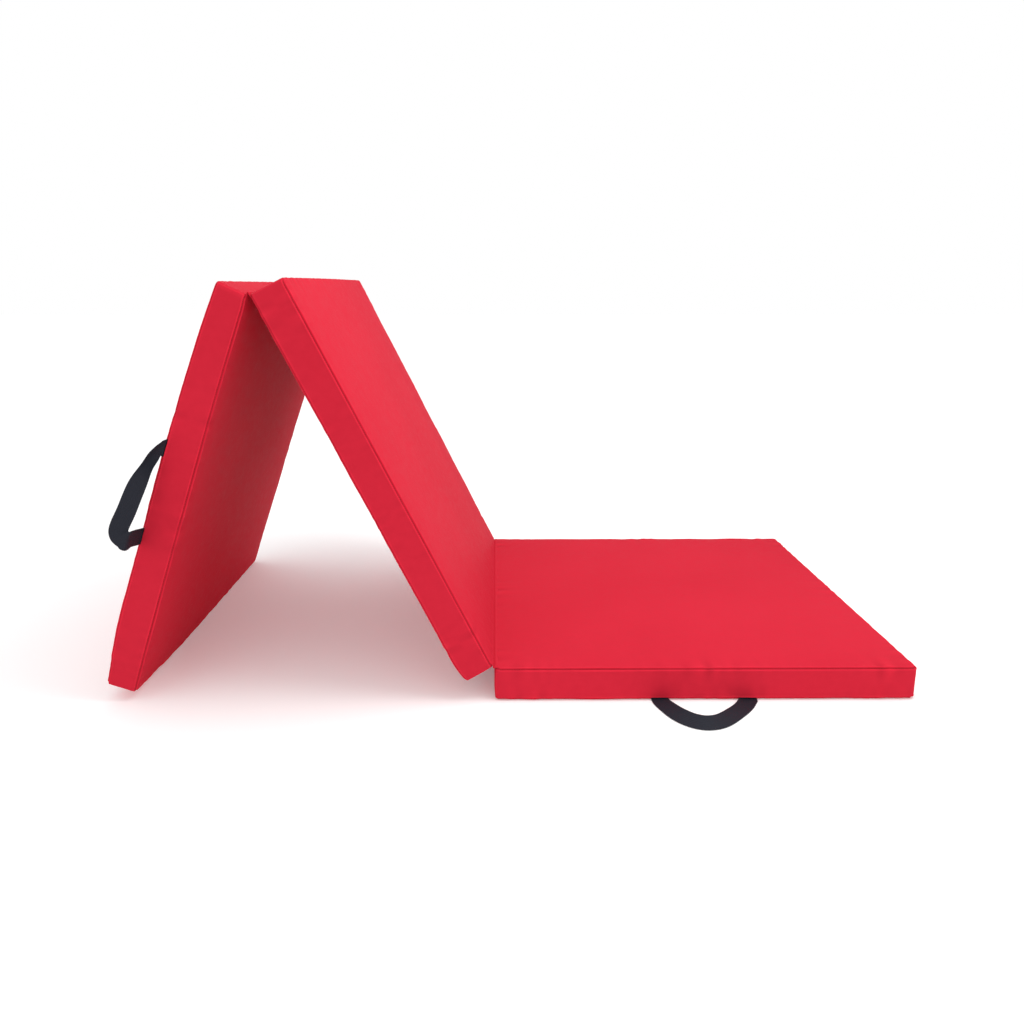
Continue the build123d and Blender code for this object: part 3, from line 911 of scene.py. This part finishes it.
# ---- zip -----------------------------------------------------------------------------
def tube(path, radius, sides):
    """Points of a round tube along a path, and its faces."""
    ahead = np.gradient(path, axis=0)
    ahead /= np.linalg.norm(ahead, axis=1)[:, None]
    side = np.cross(ahead, (1.0, 0.0, 0.0))
    side /= np.linalg.norm(side, axis=1)[:, None]
    rise = np.cross(ahead, side)
    angles = np.arange(sides) * 2 * pi / sides
    around = side[:, None] * np.cos(angles)[:, None] + rise[:, None] * np.sin(angles)[:, None]
    points = path[:, None] + radius * around
    return points.reshape(-1, 3), ring_faces(len(path), sides)


def make_zip_coils(name):
    """The two nylon coils of a closed zip: each a flattened helix, hooked into the other."""
    place = np.array(PLACES[name])
    end = ZIP_HALF_LENGTH - COIL_END
    steps = round(2 * end / COIL_PITCH * COIL_STEPS)
    x = np.linspace(-end, end, steps)
    points, faces = [], []
    for side in (-1, 1):
        turn = 2 * pi * x / COIL_PITCH + (pi if side > 0 else 0)
        helix = np.column_stack([
            x,
            HALF_WIDTH + COIL_LIFT + COIL_HALF_HEIGHT * np.sin(turn),
            side * (COIL_OFFSET - COIL_HALF_WIDTH * np.cos(turn)),
        ])
        coil, coil_faces = tube(helix, COIL_WIRE, COIL_SIDES)
        offset = sum(len(p) for p in points)
        points.append(coil)
        faces += [[i + offset for i in face] for face in coil_faces]
    coils = new_piece(f"{name}_zip_teeth", to_frame(np.concatenate(points), place), faces, "zip_coil")
    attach(coils, f"{name}_panel")
    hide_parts(f"{name}_zip_coils")


def make_softened(node_name, body, slot, width):
    """A copy of a CAD node with its edges rounded, in the node's place."""
    node = frame["nodes"][node_name]
    mesh = node.data.copy()
    mesh.materials.clear()
    mesh.materials.append(MATERIALS[slot])
    piece = bpy.data.objects.new(f"{node_name}_finished", mesh)
    bpy.context.scene.collection.objects.link(piece)
    work = bmesh.new()
    work.from_mesh(mesh)
    bmesh.ops.remove_doubles(work, verts=work.verts, dist=TOUCHING)
    bmesh.ops.dissolve_limit(work, angle_limit=FLAT_ANGLE, verts=work.verts, edges=work.edges)
    sharp = [e for e in work.edges if e.calc_face_angle(0) > SHARP_ANGLE]
    bmesh.ops.bevel(work, geom=sharp, offset=width, segments=2, affect="EDGES", clamp_overlap=True)
    work.to_mesh(mesh)
    work.free()
    mesh.shade_smooth()
    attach(piece, body)
    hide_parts(node_name)


# ---- fold strips ---------------------------------------------------------------------
def spline(controls, steps):
    """Points of a smooth line through the controls, with their parameters."""
    controls = np.array(controls, float)
    padded = np.vstack([2 * controls[0] - controls[1], controls, 2 * controls[-1] - controls[-2]])
    t = np.linspace(0, len(controls) - 1, steps)
    start = np.minimum(t.astype(int), len(controls) - 2)
    u = (t - start)[:, None]
    a, b, c, d = (padded[start + n] for n in range(4))
    twice = 2 * b + (c - a) * u
    twice = twice + (2 * a - 5 * b + 4 * c - d) * u**2
    twice = twice + (3 * b - a - 3 * c + d) * u**3
    return 0.5 * twice


def make_fold_strip(name, joint, first, first_end, second, second_end, face):
    """Cover fabric across a fold, from under one cover's face to under the other's.

    face is 1 where the fold joins two top faces, and -1 where it joins two undersides.
    """
    def at(panel, end, inset, sink):
        local = Vector((end * (HALF_LENGTH - inset), 0, face * (HALF_THICKNESS - sink)))
        return PLACES[panel] @ local

    line = Vector(next(j["pos_m"] for j in frame["joints"] if j["name"] == joint))
    inwards = sum((PLACES[p].col[2].to_3d() * face for p in (first, second)), Vector())
    crease = line - inwards.normalized() * STRIP_SINK
    ends = ((first, first_end), (second, second_end))
    tucked = [at(*end, STRIP_OVERLAP, STRIP_TUCK) for end in ends]
    edges = [at(*end, STRIP_INSET, FOLD_EDGE_DROP) for end in ends]
    controls = [tucked[0], edges[0], crease, edges[1], tucked[1]]
    path = spline([tuple(c) for c in controls], STRIP_POINTS)
    ahead = np.gradient(path, axis=0)
    ahead /= np.linalg.norm(ahead, axis=1)[:, None]
    normal = np.cross(ahead, (0, 1.0, 0)) * STRIP_THICKNESS / 2
    section = np.concatenate([path + normal, (path - normal)[::-1]])
    reach = HALF_WIDTH - STRIP_END
    ys = np.linspace(-reach, reach, round(2 * reach / STRIP_STEP) + 1)
    points = section[None] + np.array([(0, y, 0) for y in ys])[:, None]
    faces = ring_faces(len(ys), len(section))
    strip = new_piece(f"{name}_cloth", points.reshape(-1, 3), faces, "cover_fabric")
    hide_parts(name)
    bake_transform(strip)


# ---- handles -------------------------------------------------------------------------
# Stations along each strap: middle (x along the seam, reach from the near wall, lift above
# the panel's underside), then the strap's own facts. Millimetres, as on a pattern sheet.
BASE_STATIONS = [  # middle x, reach, tilt of the inner edge in degrees
    (-65.0, 1, 3),
    (-62.5, 15, 8),
    (-50, 46, 19),
    (-33, 64.5, 21),
    (-14, 70, 20),
    (8, 61.5, 15),
    (35, 36, 7),
    (50, 18.5, 4),
    (61, 1, 3),
]
BASE_CUP = 0.4
FLOOR_CLEARANCE = 0.1
END_STATIONS = [  # middle x, reach, lift; direction of the inner edge; width; cup
    ((72.0, 1, 48.9), (-1, 0, 0), 25, 0),
    ((67, 9, 53), (-0.75, -0.6, -0.2), 20, 4),
    ((49, 18, 57.5), (-0.1, -0.3, -0.95), 15.5, 6),
    ((22, 30, 60.5), (0, 0, -1), 24, 2),
    ((-10, 40, 61.5), (0, 0, -1), 25, 0),
    ((-40, 46, 63), (0.05, 0, -1), 25, 0),
    ((-49, 45, 50.4), (1, 0, 0), 27, 0),
    ((-52, 25, 49.5), (1, 0, 0), 25, 0),
    ((-57, 1, 48.9), (1, 0, 0), 25, 0),
]


def lying_stations():
    """The base handle's stations: flat on the floor, with its inner edge lifted in places."""
    stations = []
    half_width = WEBBING_WIDTH * 500
    half_thickness = WEBBING_THICKNESS * 500
    table = np.array(BASE_STATIONS, float)
    ahead = np.gradient(table[:, :2], axis=0)
    ahead[0] = ahead[-1] = (0, 1)
    ahead[-1] *= -1
    ahead /= np.linalg.norm(ahead, axis=1)[:, None]
    for (x, reach, tilt), (dx, dr) in zip(BASE_STATIONS, ahead):
        lift = half_width * sin(radians(tilt)) + half_thickness + FLOOR_CLEARANCE
        inner = (dr * cos(radians(tilt)), -dx * cos(radians(tilt)), sin(radians(tilt)))
        stations.append(((x, reach, lift), inner, 2 * half_width, BASE_CUP))
    return stations


def add_tail(middles, inners, into):
    """Carries a strap's first row on through the seam and up inside the wall."""
    middle, inner = middles[0], inners[0]
    rows = [middle + np.array((0, -TAIL_BEND - TAIL_INSET, into * (TAIL_BEND + TAIL_LENGTH)))]
    for angle in np.linspace(pi / 2, 0, TAIL_STEPS):
        turn = np.array((0, -sin(angle) * TAIL_BEND, into * (1 - cos(angle)) * TAIL_BEND))
        rows.append(middle + turn - np.array((0, TAIL_INSET, 0)))
    return np.vstack([rows, middles]), np.vstack([[inner] * len(rows), inners])


def make_handle(name, panel, stations, into, replaced):
    """A handle in one length of webbing: tail, loop, tail. into is the way into the wall."""
    table = np.array([(*m, *i, w, c) for m, i, w, c in stations], float)
    table[:, :3] /= 1000
    table[:, 6:] /= 1000
    line = spline(table, WEBBING_SAMPLES)
    length = np.concatenate([[0], np.cumsum(np.linalg.norm(np.diff(line[:, :3], axis=0), axis=1))])
    even = np.linspace(0, length[-1], round(length[-1] / WEBBING_STEP))
    line = np.array([np.interp(even, length, column) for column in line.T]).T
    middles, inners, widths, cups = line[:, :3], line[:, 3:6], line[:, 6], line[:, 7]
    middles, inners = add_tail(middles, inners, into)
    middles, inners = (a[::-1] for a in add_tail(middles[::-1], inners[::-1], into))
    spare = (len(middles) - len(widths)) // 2
    widths = np.pad(widths, spare, mode="edge")
    cups = np.pad(cups, spare, mode="edge")
    ahead = np.gradient(middles, axis=0)
    ahead /= np.linalg.norm(ahead, axis=1)[:, None]
    inners = inners - ahead * np.einsum("ij,ij->i", inners, ahead)[:, None]
    inners /= np.linalg.norm(inners, axis=1)[:, None]
    normals = np.cross(ahead, inners)
    across = np.linspace(-0.5, 0.5, WEBBING_ACROSS)
    shape = np.clip((0.5 - np.abs(across)) * WEBBING_WIDTH / (WEBBING_THICKNESS / 2), 0, 1)
    shape = np.sqrt(1 - (1 - shape) ** 2)
    half = shape * (WEBBING_THICKNESS / 2 + WEBBING_RIB_HEIGHT * np.cos(2 * pi * WEBBING_RIBS * across))
    u = np.concatenate([across, across[-2:0:-1]])
    h = np.concatenate([half, -half[-2:0:-1]])
    bend = 1 - (2 * u) ** 2
    places = (
        middles[:, None]
        + inners[:, None] * (widths[:, None] * u)[..., None]
        + normals[:, None] * (cups[:, None] * bend + h)[..., None]
    )
    local = places * (1, -1, 1) - (0, HALF_WIDTH, HALF_THICKNESS)
    rows, ring = len(middles), len(u)
    faces = ring_faces(rows, ring)
    run = np.concatenate([[0], np.cumsum(np.linalg.norm(np.diff(middles, axis=0), axis=1))])
    flat = np.stack(np.meshgrid(run, u * WEBBING_WIDTH, indexing="ij"), axis=-1).reshape(-1, 2)
    uvs = np.concatenate([flat[face] for face in faces])
    faces = [face[::-1] for face in faces]
    strap = new_piece(name, to_frame(local.reshape(-1, 3), PLACES[panel]), faces, "webbing", uvs)
    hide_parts(*replaced)
    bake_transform(strap)


# ---- assembly ------------------------------------------------------------------------
for number, name in enumerate(PLACES):
    cover_places, cover_quads = make_cover(name, FIRST_SEED + number)
    make_core(name)
    make_seam_stitches(name)
    make_zip_stitches(name, cover_places, cover_quads)
    make_zip_coils(name)
    make_softened(f"{name}_zip_stops", f"{name}_panel", "zip_coil", 0.0004)
    make_softened(f"{name}_zip_slider", f"{name}_zip_slider", "zip_metal", 0.00025)
    make_softened(f"{name}_zip_pull", f"{name}_zip_pull", "zip_metal", 0.0003)
    frame["nodes"][f"{name}_zip_tapes"].data.materials.clear()
    frame["nodes"][f"{name}_zip_tapes"].data.materials.append(MATERIALS["zip_tape"])
make_fold_strip("lower_fold_strip", "lower_fold", "base", -1, "middle", 1, 1)
make_fold_strip("upper_fold_strip", "upper_fold", "middle", -1, "end", 1, -1)
make_handle("base_handle_webbing", "base", lying_stations(), 1, ("base_handle_loop", "base_handle_tails"))
make_handle("end_handle_webbing", "end", END_STATIONS, -1, ("end_handle_loop", "end_handle_tails"))


# ---- studio --------------------------------------------------------------------------
def make_studio():
    """Pale floor, bright surroundings and two soft lights."""
    bpy.ops.mesh.primitive_plane_add(size=FLOOR_SIZE)
    floor = bpy.context.object
    floor.name = "floor"
    floor.data.materials.append(make_floor())
    world = bpy.context.scene.world or bpy.data.worlds.new("studio")
    bpy.context.scene.world = world
    world.use_nodes = True
    world.node_tree.nodes["Background"].inputs["Color"].default_value = (1, 1, 1, 1)
    world.node_tree.nodes["Background"].inputs["Strength"].default_value = 1.0
    for name, place, target, size, power in LIGHTS:
        light = bpy.data.lights.new(name, "AREA")
        light.size = size
        light.energy = power
        lamp = bpy.data.objects.new(name, light)
        lamp.location = place
        lamp.rotation_euler = (Vector(target) - Vector(place)).to_track_quat("-Z", "Y").to_euler()
        bpy.context.scene.collection.objects.link(lamp)


def make_camera():
    """The photograph's point of view."""
    data = bpy.data.cameras.new("camera")
    data.lens = CAMERA_LENS
    data.sensor_width = CAMERA_SENSOR
    data.shift_x, data.shift_y = CAMERA_SHIFT
    data.dof.use_dof = False
    camera = bpy.data.objects.new("camera", data)
    camera.location = CAMERA_PLACE
    camera.rotation_euler = (radians(90 - CAMERA_PITCH), 0, radians(-CAMERA_YAW))
    bpy.context.scene.collection.objects.link(camera)
    bpy.context.scene.camera = camera


make_studio()
make_camera()
bpy.context.scene.view_settings.view_transform = "Standard"
